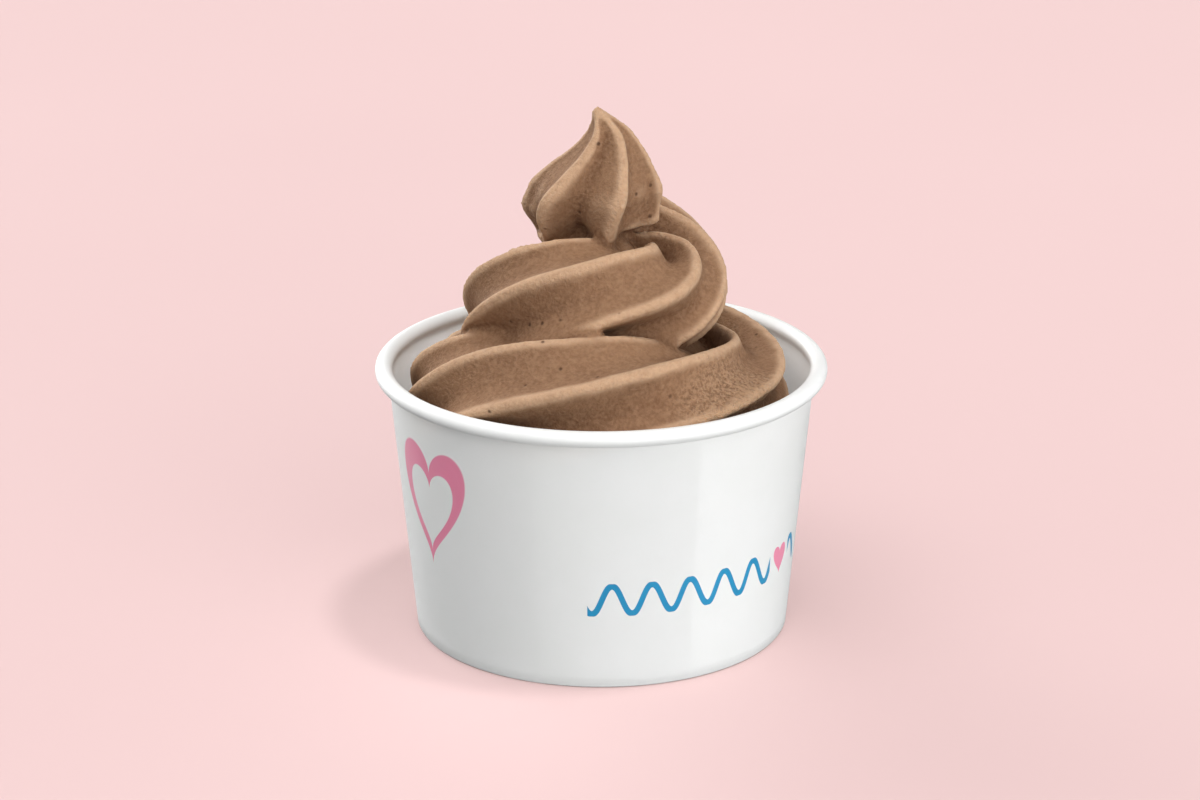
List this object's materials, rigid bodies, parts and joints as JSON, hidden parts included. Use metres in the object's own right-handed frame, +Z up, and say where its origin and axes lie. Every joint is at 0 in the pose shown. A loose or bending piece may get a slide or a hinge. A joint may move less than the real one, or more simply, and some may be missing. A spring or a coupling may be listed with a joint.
{
  "type": "frozen yogurt cup",
  "caption": "Plain white paper dessert cup with a rolled rim and recessed base, heaped with a coiled swirl of chocolate soft frozen yogurt that ends in a pulled tip.",
  "frame": {"origin": "centre of the foot ring, on the surface that the cup stands on", "axes": "+Z up along the cup's axis, -Y towards the front"},
  "size_m": [0.096, 0.096, 0.1141],
  "materials": {
    "cup_wall": "smooth white paper with a thin satin coating",
    "cup_base": "white paper board, matt underneath",
    "frozen_yogurt": "soft milk-chocolate brown, matt, with a fine frosty grain and a faint moist sheen"
  },
  "bodies": {
    "root": {"cup_wall": "cup_wall", "cup_base": "cup_base", "frozen_yogurt": "frozen_yogurt"}
  },
  "joints": []
}
